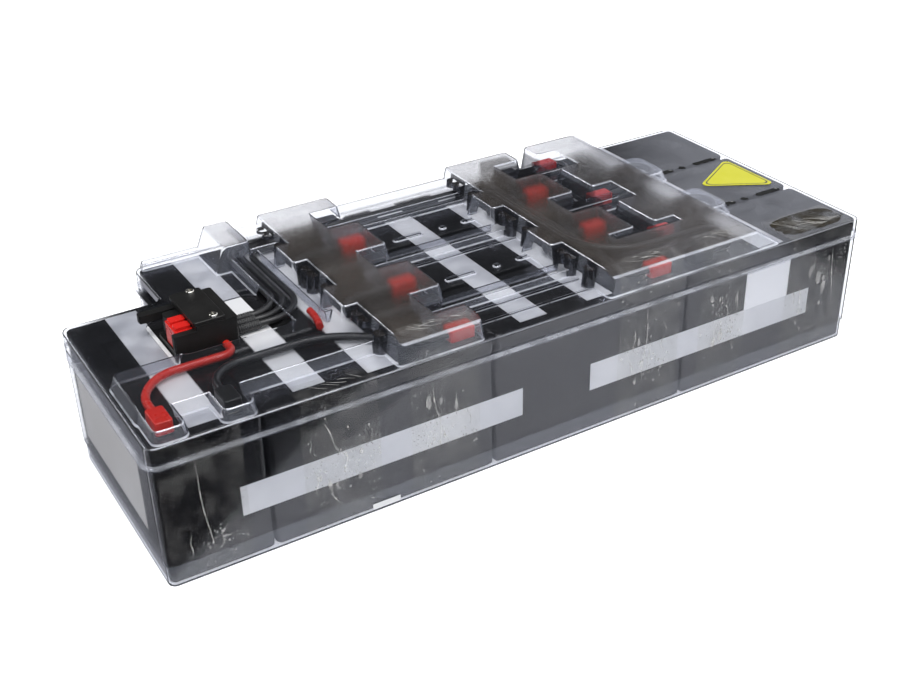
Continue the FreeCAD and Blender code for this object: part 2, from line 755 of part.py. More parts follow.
# ---------------------------------------------------------------- straps, labels, tape
def top_strap(centre_x, y0, y1):
    return box(centre_x - strap_width / 2, centre_x + strap_width / 2, y0, y1,
               battery_top, battery_top + film)


def front_film(x0, x1, z0, z1):
    """Thin strip or label stuck to the front faces of the battery containers."""
    return box(x0, x1, cover_lip - film, cover_lip, z0, z1)


def shell_profile(over_dome, run):
    """Outer surface of the closed clamshell from its floor up the front and over."""
    lip = rim_margin + flange_width
    crown = dome_height if over_dome else floor_height
    profile = [(plinth_margin, tape_low), (plinth_margin, plinth_height - 0.4),
               (wall_margin, plinth_height + 0.6), (rim_margin, seam_height - sheet - 1.5),
               (lip, seam_height - sheet - 0.1), (lip, seam_height + sheet + 0.1),
               (rim_margin, seam_height + sheet + 1.5), (rim_margin, floor_height - 0.9)]
    points = [Vector(0, -margin, z) for margin, z in profile]
    if over_dome:
        top, foot, nose = bevel_profile()
        points.append(Vector(0, front - front_lean * 0.85, floor_height + 1.0))
        points += [nose + Vector(0, -0.2, -0.1), foot, top]
    elif run > 0:
        points.append(Vector(0, 0.9 - rim_margin, crown))
    if run > 0:
        points.append(Vector(0, run, crown))
    return points


def tape(x0, x1, run, over_dome):
    """Clear packing tape over the front of the clamshell, bridging its flange."""
    inner = shell_profile(over_dome, run)
    near = []
    far = []
    for i, point in enumerate(inner):
        before = inner[max(i - 1, 0)]
        after = inner[min(i + 1, len(inner) - 1)]
        along = (after - before).normalize()
        out = Vector(0, -along.z, along.y)
        near.append(point + out * seat_gap)
        far.append(point + out * (seat_gap + film))
    outline = [p + Vector(x0, 0, 0) for p in near + list(reversed(far))]
    face = Part.Face(Part.makePolygon(outline + outline[:1]))
    return face.extrude(Vector(x1 - x0, 0, 0))


# ---------------------------------------------------------------- batteries and terminals
terminals = []
for name, corner, turned, flipped in battery_placements():
    pair = terminal_points(corner, turned, flipped)
    terminals.append(pair)
    write(name, battery(corner, turned, pair))

# the turned battery is the first column; the others follow in rows from the front
column_of = [0] + [1 + i // row_count for i in range(row_count * column_count)]
toward = [Vector(0, 1, 0), Vector(-1, 0, 0), Vector(-1, 0, 0), Vector(1, 0, 0)]
for index, kind, colour in ((0, "positive", "red"), (1, "negative", "black")):
    tabs = [tab(pair[index], i == 0) for i, pair in enumerate(terminals)]
    write("terminal_tabs_" + kind, Part.makeCompound(tabs))
    for column, direction in enumerate(toward):
        boots = [boot(pair[index], direction, i == 0) for i, pair in enumerate(terminals)
                 if column_of[i] == column]
        name = colour + "_boots_column_" + str(column + 1)
        write(name, boots[0] if len(boots) == 1 else Part.makeCompound(boots))

# ---------------------------------------------------------------- cables
radii = {}


def lead(name, points, diameter=cable_diameter):
    shape, radii[name] = cable(points, diameter)
    write(name, shape)


# in each column the higher terminal of one row joins the lower terminal of the next
for column in range(1, column_count + 1):
    first = 1 + (column - 1) * row_count
    shift = loop_shift if column == column_count else 0.0
    for step in range(row_count - 1):
        one = max(terminals[first + step], key=lambda p: p.y)
        two = min(terminals[first + step + 1], key=lambda p: p.y)
        lead("series_loop_" + str(column + 1) + "_" + str(step + 1),
             loop_points(one, two, toward[column], shift))

start = cable_start(terminals[0][0], toward[0])
lead("red_lead", [
    start, level(start.x, red_run - 17), level(start.x + 15.5, red_run),
    level(red_entry_x, red_run), level(red_entry_x, connector_front + boot_grip - 1.2)])

start = cable_start(terminals[0][1], toward[0])
end = cable_start(terminals[1][0], toward[1])
lead("link_lead", [
    start, level(start.x, link_run - 11), level(start.x + 13.5, link_run),
    level(dome_a_plain - 27.6, link_run), level(dome_a_plain - 0.6, link_run - 17),
    level(end.x - 26.4, end.y), end])

# three black leads leave the connector, turn back under the partition ridge and then
# along the back of the pack: one to the first dome, two more through the back ridge
exits = [[level(connector_right - boot_grip + cable_clearance, lead_line[i]),
          level(turn_x[i], lead_line[i]), level(turn_x[i], turn_y[i])]
         for i in range(lead_count)]
end = cable_start(terminals[3][1], toward[1])
lead("black_lead_1", exits[0] + [
    level(dome_a_plain + 7.4, turn_y[0]), level(dome_a_plain + 19.4, end.y), end])

end = cable_start(terminals[4][0], toward[2])
lead("black_lead_2", exits[1] + [
    level(dome_a_plain + 5.4, turn_y[1]),
    Vector(dome_a_plain + 29.4, upper_ridge_y, upper_ridge_z),
    Vector(dome_b_plain + 4.9, upper_ridge_y, upper_ridge_z),
    Vector(spine_lead_x, upper_ridge_y, spine_lead_z),
    Vector(spine_lead_x, end.y + 17.5, spine_lead_z),
    Vector(spine_lead_x, end.y, spine_lead_z - 4.3), end + Vector(-7, 0, 0), end],
    thin_diameter)

# the last lead crosses to the third dome near the front, above the other one
end = cable_start(terminals[7][1], toward[3])
cross_y = end.y + 14.5
lead("black_lead_3", exits[2] + [
    level(dome_a_plain + 5.4, turn_y[2]),
    Vector(dome_a_plain + 29.4, ridge_lead_y, ridge_lead_z),
    Vector(dome_b_plain + 2.9, ridge_lead_y, ridge_lead_z),
    Vector(cross_lead_x, ridge_lead_y - 7.4, ridge_lead_z + 3.75),
    Vector(cross_lead_x, ridge_lead_y - 25.4, cross_lead_z),
    Vector(cross_lead_x, cross_y, cross_lead_z),
    Vector(end.x + 14.4, cross_y, cross_lead_z - 1.8),
    Vector(end.x + 26.4, cross_y - 7, cross_lead_z - 6.3),
    level(end.x + 21.4, end.y), end],
    thin_diameter)

# jumper between the second and third domes, through the rear duct
start = cable_start(terminals[6][1], toward[2])
end = cable_start(terminals[9][0], toward[3])
lead("column_jumper", [
    start, start + Vector(-9, 0, 0), level(start.x - 9, jumper_y),
    level(end.x + 9, jumper_y), end + Vector(9, 0, 0), end])
print("arc radii", radii)

# ---------------------------------------------------------------- connector
write("connector_body", connector_body())
write("connector_red_insert", red_insert())
write("connector_cover", cover_plate())
for i, (x, y) in enumerate(screw_points):
    write("connector_screw_" + str(i + 1), screw(x, y))

# ---------------------------------------------------------------- straps and labels
write("top_strap_1", top_strap(first_strap[0], first_strap[1], battery_length - 0.5))
for i, (column, offset, y0) in enumerate(strap_lines):
    write("top_strap_" + str(i + 2),
          top_strap(column_left[column] + offset, y0, pack_width - strap_back))
front_strap_top = front_strap_low + strap_width
for side, (x0, length) in zip(("left", "right"), front_straps):
    write("front_strap_" + side,
          front_film(x0, x0 + length, front_strap_low, front_strap_top))
label_low = front_strap_top + 0.1
write("front_label", front_film(front_label_left, front_label_left + front_label_width,
                                label_low, label_low + front_label_height))
write("end_label", box(cover_lip - film, cover_lip,
                       end_label_front, end_label_front + end_label_width,
                       end_label_low, end_label_low + end_label_height))
base_x = pack_length - sticker_margin
middle_y = pack_width / 2 + sticker_shift
sticker = prism([(base_x - sticker_length, middle_y), (base_x, middle_y - sticker_half),
                 (base_x, middle_y + sticker_half)], 4.0,
                floor_height + seat_gap, floor_height + seat_gap + film)
write("triangle_sticker", sticker)

# ---------------------------------------------------------------- clamshell and its tapes
bands = [(x0, x1, run, False) for x0, x1, run in plain_tapes]
bands += [(x0, x1, run, True) for x0, x1, run in dome_tapes]
for i, (x0, x1, run, over_dome) in enumerate(sorted(bands)):
    write("packing_tape_" + str(i + 1), tape(x0, x1, run, over_dome))
write("bottom_tray", tray())
write("top_lid", lid())
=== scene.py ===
import json
import math
import random

import bpy
import bmesh
from mathutils import Matrix, Vector


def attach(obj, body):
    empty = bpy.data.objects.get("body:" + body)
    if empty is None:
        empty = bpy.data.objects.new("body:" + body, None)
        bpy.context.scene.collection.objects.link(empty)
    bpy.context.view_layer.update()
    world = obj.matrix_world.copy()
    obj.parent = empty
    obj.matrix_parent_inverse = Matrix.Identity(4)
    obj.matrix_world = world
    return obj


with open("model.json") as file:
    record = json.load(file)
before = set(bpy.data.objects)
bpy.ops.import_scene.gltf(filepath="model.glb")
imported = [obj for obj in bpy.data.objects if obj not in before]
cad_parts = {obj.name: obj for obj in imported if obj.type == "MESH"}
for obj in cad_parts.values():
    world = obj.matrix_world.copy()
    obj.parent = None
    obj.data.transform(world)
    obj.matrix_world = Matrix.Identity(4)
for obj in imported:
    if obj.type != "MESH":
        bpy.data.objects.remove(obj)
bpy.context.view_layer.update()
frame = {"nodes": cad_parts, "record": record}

MM = 0.001
scene = bpy.context.scene
nodes = frame["nodes"]

# the model's frame is centred on the pack: these shift the front left corner of the
# battery block, from which places below are given in millimetres
PACK_LENGTH = 519.5
PACK_WIDTH = 204.4
ROW_PITCH = 69.7
ROW_SEAMS = (67.35, 137.05)              # where the dimples lie, between the rows
LOOP_CENTRES = (72.3, 142.0)             # middles of the last series loops
LID_FLOOR = 96.0
DOME_TOP = 113.0

# heights on the clamshell in metres; an edge is a pair: where a mask is zero, where it is one
CROWN_EDGE = (0.1085, 0.1095)
RAISED_EDGE = (0.0966, 0.1005)
WALL_EDGE = (0.0962, 0.0972)
SLOPE_HEIGHT_EDGE = (0.0975, 0.0985)
UNDERSIDE_EDGE = (0.0951, 0.0949)
PLINTH_EDGE = (0.0152, 0.0146)
FLANGE_BAND = ((0.0824, 0.0828), (0.0848, 0.0844))
LIP_BAND = ((0.0838, 0.0839), (0.0846, 0.0845))
FOOT_BAND = ((0.0971, 0.0968), (0.0958, 0.0960))
STEP_BAND = ((0.0144, 0.0146), (0.0155, 0.0152))
# the long slope on the right: where it starts, and the normal of its face
SLOPE_START = (417, 423)
SLOPE_NORMAL = (0.561, 0.0, 0.828)
# upright flutes of the domes: their two lines, and their places within a row, in mm
FLUTE_LINES = (150.45, 301.95)
FLUTES_IN_ROW = (20.5, 40.5, 49.5)


def at(x, y, z):
    """A place in metres from millimetres measured from the block's front left corner."""
    return Vector(((x - PACK_LENGTH / 2) * MM, (y - PACK_WIDTH / 2) * MM, z * MM))


# ------------------------------------------------------------------ node helpers
class Graph:
    """Small helper that adds and links the shader nodes of a material or a world."""

    def __init__(self, name, kind="Material"):
        library = bpy.data.worlds if kind == "World" else bpy.data.materials
        self.owner = library.new(name)
        self.owner.use_nodes = True
        self.tree = self.owner.node_tree
        self.tree.nodes.clear()
        self.out = self.tree.nodes.new("ShaderNodeOutput" + kind)

    def add(self, kind, inputs=None, **settings):
        node = self.tree.nodes.new("ShaderNode" + kind)
        for key, value in settings.items():
            setattr(node, key, value)
        for key, value in (inputs or {}).items():
            if isinstance(value, bpy.types.NodeSocket):
                self.tree.links.new(value, node.inputs[key])
            else:
                node.inputs[key].default_value = value
        return node

    def finish(self, shader):
        self.tree.links.new(shader, self.out.inputs["Surface"])
        return self.owner

    def coords(self):
        return self.add("TexCoord").outputs["Object"]

    def noise(self, scale, detail=3.0, rough=0.5, vector=None, stretch=None):
        vector = vector or self.coords()
        if stretch:
            vector = self.add("Mapping", {"Vector": vector, "Scale": stretch}).outputs[0]
        return self.add("TexNoise", {"Vector": vector, "Scale": scale, "Detail": detail,
                                     "Roughness": rough}).outputs["Fac"]

    def ramp(self, value, low, high, to_low=0.0, to_high=1.0):
        return self.add("MapRange", {0: value, 1: low, 2: high, 3: to_low, 4: to_high},
                        interpolation_type="SMOOTHSTEP").outputs[0]

    def math(self, kind, a, b=0.0, clamp=False):
        return self.add("Math", {0: a, 1: b}, operation=kind, use_clamp=clamp).outputs[0]

    def mix_colour(self, fac, a, b):
        node = self.add("Mix", data_type="RGBA")
        for index, value in ((0, fac), (6, a), (7, b)):
            if isinstance(value, bpy.types.NodeSocket):
                self.tree.links.new(value, node.inputs[index])
            else:
                node.inputs[index].default_value = value
        return node.outputs[2]

    def bump(self, height, strength, distance):
        return self.add("Bump", {"Height": height, "Strength": strength,
                                 "Distance": distance}).outputs[0]


def plastic(name, colour, second, roughness, spread=0.06, grain=900.0, bump=0.15,
            specular=0.5):
    """Moulded or coated plastic: a slightly uneven colour, gloss and fine grain."""
    g = Graph(name)
    patch = g.noise(18.0, 4.0, 0.6)
    base = g.mix_colour(g.ramp(patch, 0.35, 0.7), colour, second)
    wear = g.ramp(g.noise(60.0, 4.0, 0.6), 0.3, 0.75, roughness - spread, roughness + spread)
    normal = g.bump(g.noise(grain, 2.0), bump, 0.0002)
    shader = g.add("BsdfPrincipled", {"Base Color": base, "Roughness": wear, "Normal": normal,
                                      "Specular IOR Level": specular})
    return g.finish(shader.outputs[0])


def metal(name, colour, second, roughness):
    """Bare metal with an uneven colour and gloss."""
    g = Graph(name)
    base = g.mix_colour(g.ramp(g.noise(120.0, 4.0), 0.3, 0.7), colour, second)
    rough = g.ramp(g.noise(260.0, 3.0), 0.2, 0.8, roughness * 0.7, roughness * 1.4)
    shader = g.add("BsdfPrincipled", {"Base Color": base, "Metallic": 1.0, "Roughness": rough,
                                      "Normal": g.bump(g.noise(700.0), 0.2, 0.0002)})
    return g.finish(shader.outputs[0])


def reflectance(g, base, rim):
    """Weight of the mirror part: small face on, strong at grazing angles."""
    facing = g.add("LayerWeight", {"Blend": 0.5}).outputs["Facing"]
    grazing = g.math("POWER", facing, 4.5)
    return g.math("ADD", g.math("MULTIPLY", grazing, rim), base, clamp=True)


def blend(g, fac, first, second):
    """The first shader, with the second laid over it by a share."""
    return g.add("MixShader", {0: fac, 1: first, 2: second}).outputs[0]


def between(g, value, rise, fall):
    """One between two soft edges."""
    return g.math("MULTIPLY", g.ramp(value, *rise), g.ramp(value, *fall))


def near(g, value, centre, reach):
    """One within the reach of a centre, with a soft border."""
    away = g.math("ABSOLUTE", g.math("SUBTRACT", value, centre))
    return g.ramp(away, reach, reach * 0.85)


def flute_mask(g, place):
    """Around the upright flutes: two lines of them, three to a row of batteries."""
    x, y = place.outputs["X"], place.outputs["Y"]
    first, second = (near(g, x, at(line, 0, 0).x, 0.0062) for line in FLUTE_LINES)
    column = g.math("MAXIMUM", first, second)
    along = g.math("FLOORED_MODULO", g.math("SUBTRACT", y, at(0, 0, 0).y), ROW_PITCH * MM)
    row = 0.0
    for centre in FLUTES_IN_ROW:
        row = g.math("MAXIMUM", row, near(g, along, centre * MM, 0.0058))
    return g.math("MULTIPLY", column, row)


def inside_mask(g, place):
    """One inside the outline of the pack, away from the outer walls."""
    return g.math("MULTIPLY", near(g, place.outputs["X"], 0.0, PACK_LENGTH / 2 * MM - 0.004),
                  near(g, place.outputs["Y"], 0.0, PACK_WIDTH / 2 * MM - 0.004))


def formed_sheet(name):
    """Clear vacuum-formed sheet.

    Light goes straight on, while what lies further behind a drawn form looks softer.
    The crowns of the tall forms are milky brown, a haze that is partly painted sheen; the plinth,
    the flange, the walls and the long slope carry a pale bluish painted sheen;
    rounded edges and the feet of walls carry painted highlights, and the flutes, dimples and
    notches carry painted shade."""
    g = Graph(name)
    tint = (0.935, 0.938, 0.95, 1)
    outward = g.add("TexCoord").outputs["Normal"]
    place = g.add("SeparateXYZ", {0: g.coords()})
    height = place.outputs["Z"]
    up = g.add("SeparateXYZ", {0: outward}).outputs["Z"]
    level = g.ramp(up, 0.90, 0.965)
    tall = g.math("MULTIPLY", g.ramp(height, *CROWN_EDGE), level)
    drawn = g.math("MULTIPLY", g.ramp(height, *RAISED_EDGE), level)
    normal = g.bump(g.noise(22.0, 2.0), 0.07, 0.002)

    # straight for light, softened for the eye
    path = g.add("LightPath")
    rough = g.math("ADD", g.math("MULTIPLY", drawn, 0.09), 0.09)
    rough = g.math("ADD", rough, g.math("MULTIPLY", tall, 0.09))
    straight = g.add("BsdfTransparent", {"Color": tint}).outputs[0]
    soft = g.add("BsdfRefraction", {"Color": tint, "Roughness": rough, "IOR": 1.25,
                                    "Normal": normal}).outputs[0]
    plain = g.math("MAXIMUM", path.outputs["Is Shadow Ray"], path.outputs["Is Diffuse Ray"])
    mirrored = g.math("SUBTRACT", path.outputs["Is Glossy Ray"],
                      path.outputs["Is Transmission Ray"], clamp=True)
    plain = g.math("MAXIMUM", plain, mirrored)
    rim = between(g, height, *FLANGE_BAND)
    plain = g.math("MAXIMUM", plain, rim)
    start, end = (at(x, 0, 0).x for x in SLOPE_START)
    far = g.math("MULTIPLY", g.ramp(place.outputs["X"], start, end),
                 g.ramp(height, *SLOPE_HEIGHT_EDGE))
    plain = g.math("MAXIMUM", plain, far)
    body = blend(g, plain, soft, straight)

    # a faint veil of random haze everywhere, and a painted sheen: more pale bluish veil on the
    # flange, the plinth, the long slope and the walls, standing in for light they reflect
    cloud = g.ramp(g.noise(9.0, 3.0, 0.6), 0.3, 0.75, 0.002, 0.006)
    haze_and_painted_sheen = g.math("ADD", cloud, g.math("MULTIPLY", rim, 0.02))
    plinth = g.ramp(height, *PLINTH_EDGE)
    haze_and_painted_sheen = g.math("ADD", haze_and_painted_sheen, g.math("MULTIPLY", plinth, 0.055))
    haze_and_painted_sheen = g.math("ADD", haze_and_painted_sheen, g.math("MULTIPLY", far, 0.06))
    wall = g.math("MULTIPLY", g.ramp(up, 0.45, 0.25), g.ramp(height, *WALL_EDGE))
    haze_and_painted_sheen = g.math("ADD", haze_and_painted_sheen, g.math("MULTIPLY", wall, 0.050))
    pale = g.add("BsdfDiffuse", {"Color": (0.68, 0.72, 0.82, 1)}).outputs[0]
    body = blend(g, haze_and_painted_sheen, body, pale)

    # milky crowns: partly haze of the sheet, partly painted sheen standing in for light the
    # crowns reflect
    smear = g.ramp(g.noise(11.0, 4.0, 0.6, stretch=(1.0, 1.6, 1.0)), 0.25, 0.75, 0.10, 0.26)
    crown_haze_and_sheen = g.add("BsdfDiffuse", {"Color": (0.105, 0.090, 0.078, 1)}).outputs[0]
    body = blend(g, g.math("MULTIPLY", tall, smear), body, crown_haze_and_sheen)

    # painted highlights on rounded edges, apart from the long even slope, on the feet of the
    # walls, the lip of the flange and the step of the plinth
    slope = g.add("VectorMath", {0: outward, 1: SLOPE_NORMAL},
                  operation="DOT_PRODUCT").outputs["Value"]
    edge = between(g, up, (0.35, 0.55), (0.90, 0.80))
    edge = g.math("MULTIPLY", edge, g.ramp(slope, 0.998, 0.985))
    edge = g.math("MULTIPLY", edge, g.ramp(height, 0.0960, 0.0963, 0.35, 1.0))
    patchy = g.ramp(g.noise(38.0, 3.0, 0.6), 0.35, 0.65, 0.35, 1.0)
    foot = between(g, height, *FOOT_BAND)
    foot = g.math("MULTIPLY", foot, g.ramp(up, 0.60, 0.50))
    lip = between(g, height, *LIP_BAND)
    step = between(g, height, *STEP_BAND)
    painted_highlight = g.math("MAXIMUM", g.math("MULTIPLY", edge, 0.30), g.math("MULTIPLY", foot, 0.62))
    painted_highlight = g.math("MAXIMUM", painted_highlight, g.math("MULTIPLY", lip, 0.30))
    painted_highlight = g.math("MAXIMUM", painted_highlight, g.math("MULTIPLY", step, 0.16))
    # the painted highlight is this pale diffuse colour
    glow = g.add("BsdfDiffuse", {"Color": (0.88, 0.90, 0.96, 1)}).outputs[0]
    body = blend(g, g.math("MULTIPLY", painted_highlight, patchy), body, glow)

    # painted shade: the flutes and the dimples are darkened to near black, standing in for the
    # shade where they end on the batteries and in the gaps between
    flute = flute_mask(g, place)
    dimple_shade_mask = g.math("MULTIPLY", g.ramp(height, *UNDERSIDE_EDGE), inside_mask(g, place))
    # painted shade also darkens the notches between the second and the third dome
    notch_shade = g.math("MULTIPLY", near(g, place.outputs["X"], at(356.5, 0, 0).x, 0.022),
                   g.ramp(place.outputs["Y"], at(0, 12, 0).y, at(0, 16, 0).y))
    notch_shade = g.math("MULTIPLY", notch_shade, g.ramp(height, 0.1100, 0.1080))
    notch_shade = g.math("MULTIPLY", notch_shade, g.ramp(height, 0.0940, 0.0950, 0.0, 0.42))
    painted_shade = g.math("MAXIMUM", g.math("MULTIPLY", flute, g.math("MULTIPLY", wall, 0.72)),
                  g.math("MAXIMUM", g.math("MULTIPLY", dimple_shade_mask, 0.9), notch_shade))
    # the painted shade is this near-black diffuse colour
    shade_black = g.add("BsdfDiffuse", {"Color": (0.006, 0.006, 0.007, 1)}).outputs[0]
    body = blend(g, painted_shade, body, shade_black)

    reflect = reflectance(g, 0.030, 0.55)
    reflect = g.math("MULTIPLY", reflect, g.ramp(tall, 0.0, 1.0, 1.0, 0.35))
    reflect = g.math("ADD", reflect, g.math("MULTIPLY", painted_shade, 0.05))
    reflect = g.math("ADD", reflect, g.math("MULTIPLY", edge, 0.12), clamp=True)
    mirror = g.add("BsdfGlossy", {"Color": (0.90, 0.91, 1.0, 1), "Roughness": 0.05,
                                  "Normal": normal}).outputs[0]
    return g.finish(blend(g, reflect, body, mirror))


def tape_film(name):
    """Clear packing tape: nearly invisible, very slightly hazy."""
    g = Graph(name)
    body = g.add("BsdfTransparent", {"Color": (0.985, 0.985, 0.98, 1)}).outputs[0]
    haze = g.ramp(g.noise(60.0, 4.0, 0.6), 0.40, 0.75, 0.0, 0.035)
    air = g.add("BsdfDiffuse", {"Color": (0.74, 0.72, 0.69, 1)}).outputs[0]
    body = blend(g, haze, body, air)
    reflect = reflectance(g, 0.006, 0.16)
    normal = g.bump(g.noise(40.0, 2.0), 0.06, 0.002)
    mirror = g.add("BsdfGlossy", {"Color": (0.95, 0.95, 1.0, 1), "Roughness": 0.08,
                                  "Normal": normal}).outputs[0]
    return g.finish(blend(g, reflect, body, mirror))


def thin_mark(name, colour, low, high, scale=160.0):
    """A mark in or under the tape through which the pack still shows."""
    g = Graph(name)
    body = g.add("BsdfTransparent", {"Color": (0.99, 0.99, 0.985, 1)}).outputs[0]
    mark = g.add("BsdfDiffuse", {"Color": colour}).outputs[0]
    return g.finish(blend(g, g.ramp(g.noise(scale, 3.0), 0.35, 0.65, low, high), body, mark))


black_case = plastic("battery_case", (0.007, 0.007, 0.008, 1), (0.011, 0.0105, 0.010, 1), 0.24,
                     spread=0.03, grain=300.0, bump=0.012)
black_soft = plastic("black_boot", (0.008, 0.008, 0.008, 1), (0.013, 0.013, 0.013, 1), 0.38)
black_cable = plastic("black_cable", (0.010, 0.010, 0.011, 1), (0.016, 0.016, 0.017, 1), 0.34)
nylon = plastic("connector_black", (0.006, 0.006, 0.006, 1), (0.010, 0.0095, 0.009, 1), 0.46,
                grain=1600.0, bump=0.25, specular=0.25)
red_soft = plastic("red_boot", (0.50, 0.010, 0.006, 1), (0.58, 0.020, 0.010, 1), 0.32)
red_cable = plastic("red_cable", (0.46, 0.014, 0.008, 1), (0.56, 0.024, 0.014, 1), 0.3)
red_nylon = plastic("connector_red", (0.50, 0.008, 0.006, 1), (0.58, 0.014, 0.010, 1), 0.3)
white_film = plastic("white_film", (0.64, 0.645, 0.66, 1), (0.77, 0.77, 0.775, 1), 0.45,
                     grain=70.0, bump=0.5)
yellow = plastic("yellow_film", (0.54, 0.52, 0.030, 1), (0.58, 0.56, 0.040, 1), 0.45,
                 specular=0.15)
aged_paper = plastic("label_paper", (0.64, 0.615, 0.58, 1), (0.70, 0.68, 0.65, 1), 0.6,
                     specular=0.2)
bright_paper = plastic("label_white", (0.90, 0.90, 0.905, 1), (0.93, 0.93, 0.93, 1), 0.5,
                       specular=0.2)
trapped_air = thin_mark("trapped_air", (0.62, 0.61, 0.60, 1), 0.16, 0.38)
crease = thin_mark("tape_crease", (0.76, 0.745, 0.72, 1), 0.14, 0.36)
brown_glue = thin_mark("tape_glue", (0.050, 0.043, 0.032, 1), 0.05, 0.66, 42.0)
# painted shade: near-black plastic for the patches in the dimples
painted_shade_black = plastic("painted_shade_black", (0.004, 0.004, 0.004, 1), (0.007, 0.007, 0.007, 1), 0.6,
                    specular=0.12)
milky = thin_mark("milky_patch", (0.46, 0.47, 0.50, 1), 0.35, 0.60)
dark_line = plastic("dark_border", (0.03, 0.03, 0.02, 1), (0.04, 0.04, 0.03, 1), 0.5)
brass = metal("terminal_metal", (0.70, 0.60, 0.38, 1), (0.78, 0.72, 0.55, 1), 0.28)
steel = metal("screw_steel", (0.72, 0.70, 0.64, 1), (0.80, 0.79, 0.76, 1), 0.22)
clear_sheet = formed_sheet("clear_sheet")
clear_tape = tape_film("clear_tape")

FINISH = {"battery_case": black_case, "clear_sheet": clear_sheet, "clear_tape": clear_tape,
          "terminal_metal": brass, "red_boot": red_soft, "black_boot": black_soft,
          "black_cable": black_cable, "red_cable": red_cable, "connector_black": nylon,
          "connector_red": red_nylon, "screw_steel": steel, "white_film": white_film,
          "yellow_film": yellow}
SLOT_OF = {entry["node"]: entry["material_slot"] for entry in frame["record"]["subparts"]}
for name, piece in nodes.items():
    piece.data.materials.clear()
    piece.data.materials.append(FINISH[SLOT_OF[name]])
nodes["end_label"].data.materials[0] = aged_paper
nodes["front_label"].data.materials[0] = bright_paper


def keep(name, mesh, material):
    """Adds a piece of the part that rides with it."""
    piece = bpy.data.objects.new(name, mesh)
    scene.collection.objects.link(piece)
    mesh.materials.append(material)
    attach(piece, "root")


class Shape:
    """Closed thin strips and patches gathered into one mesh."""

    def __init__(self):
        self.points = []
        self.faces = []

    def loops(self, rings, closed=False):
        """Skin over rings of equal length; the ends are capped unless it closes on itself."""
        start, size, count = len(self.points), len(rings[0]), len(rings)
        for ring in rings:
            self.points += ring
        for i in range(count if closed else count - 1):
            here, there = start + size * i, start + size * ((i + 1) % count)
            for k in range(size):
                n = (k + 1) % size
                self.faces.append((here + k, here + n, there + n, there + k))
        if not closed:
            self.faces.append(tuple(reversed(range(start, start + size))))
            last = start + size * (count - 1)
            self.faces.append(tuple(range(last, last + size)))

    def strip(self, path, widths, across, out, depth=0.05):
        """A flat ribbon along a path."""
        rings = []
        for point, width in zip(path, widths):
            side, top = across * (width / 2 * MM), point + out * (depth * MM)
            rings.append([point - side, point + side, top + side, top - side])
        self.loops(rings)

    def patch(self, outline, out, depth=0.05):
        """A flat plate with the given outline."""
        self.loops([outline, [p + out * (depth * MM) for p in outline]])

    def mesh(self, name):
        data = bpy.data.meshes.new(name)
        data.from_pydata([tuple(p) for p in self.points], [], self.faces)
        work = bmesh.new()
        work.from_mesh(data)
        bmesh.ops.recalc_face_normals(work, faces=work.faces)
        work.to_mesh(data)
        work.free()
        return data


# ------------------------------------------------------------------ marks in the tapes
OUT = Vector((0, -1, 0))
ALONG = Vector((1, 0, 0))
UP = Vector((0, 0, 1))
ACROSS = Vector((0, 1, 0))
# left and right border of each tape, whether it runs over a dome, share of specks
TAPES = ((0.5, 50.0, False, 0.6), (85.0, 135.0, False, 1.0), (156.0, 204.0, True, 1.0),
         (310.0, 360.0, True, 1.0), (378.0, 418.0, True, 1.1), (456.0, 515.0, False, 1.0))
# heights where the tape bends over an edge and carries no marks
BARE_BANDS = ((13.2, 17.0), (80.5, 86.5), (93.0, 98.5))
# upper and lower end of each long crease, its width, whether its tape runs over a dome
LONG_CREASES = (
    (21.5, 79.5, 26.5, 17.5, 0.6, False), (35.5, 33.0, 30.5, 17.5, 0.7, False),
    (14.5, 33.0, 13.5, 18.0, 0.5, False), (100.0, 76.0, 108.5, 52.0, 0.9, False),
    (99.0, 38.0, 105.0, 18.0, 1.0, False), (171.5, 79.5, 176.5, 34.0, 0.8, True),
    (333.0, 79.5, 331.0, 26.0, 0.7, True), (337.0, 60.0, 334.0, 30.0, 0.5, True),
    (497.0, 79.5, 503.0, 30.0, 0.8, False))
LARGE_BUBBLES = ((168.0, 66.0, 2.1), (478.0, 66.0, 1.8), (486.0, 60.0, 2.4),
                 (492.0, 50.0, 2.2), (398.0, 40.0, 2.3), (392.0, 36.0, 1.9))


def tape_face(x, z, over_dome):
    """A place on the outside of the tape on the front of the pack."""
    if z < 14.8:
        margin = 1.1
    elif z < 84.0:
        margin = 2.2 + 0.4 * (z - 15.4) / 65.9
    elif z < LID_FLOOR - 1.5 or not over_dome:
        margin = 2.6
    else:
        margin = 1.0 + 0.9 * (DOME_TOP - z) / 17
    return at(x, -margin - 0.21, z)


def bubble(shape, x, z, radius, tall, over_dome, rng):
    """An uneven round blister of air."""
    count = rng.randint(6, 9) if radius < 1.0 else 14
    outline = []
    for i in range(count):
        turn = 2 * math.pi * i / count
        reach = radius * rng.uniform(0.65, 1.15)
        outline.append(tape_face(x, z, over_dome) + ALONG * (reach * math.cos(turn) * MM)
                       + UP * (reach * tall * math.sin(turn) * MM))
    shape.patch(outline, OUT, 0.04)


def wrinkle(shape, x0, z0, x1, z1, width, over_dome, rng):
    """A wavy crease that thins out towards its ends."""
    count = max(6, int(abs(z1 - z0) / 1.5))
    wave, turn = rng.uniform(0.4, 1.1), rng.uniform(0, 6.28)
    path, widths = [], []
    for i in range(count + 1):
        t = i / count
        x = x0 + (x1 - x0) * t + wave * math.sin(turn + t * 7.0) + rng.uniform(-0.15, 0.15)
        path.append(tape_face(x, z0 + (z1 - z0) * t, over_dome) + OUT * (0.04 * MM))
        widths.append(width * (0.25 + 0.75 * math.sin(math.pi * min(max(t, 0.03), 0.97)))
                      * rng.uniform(0.7, 1.3))
    shape.strip(path, widths, ALONG, OUT, 0.05)


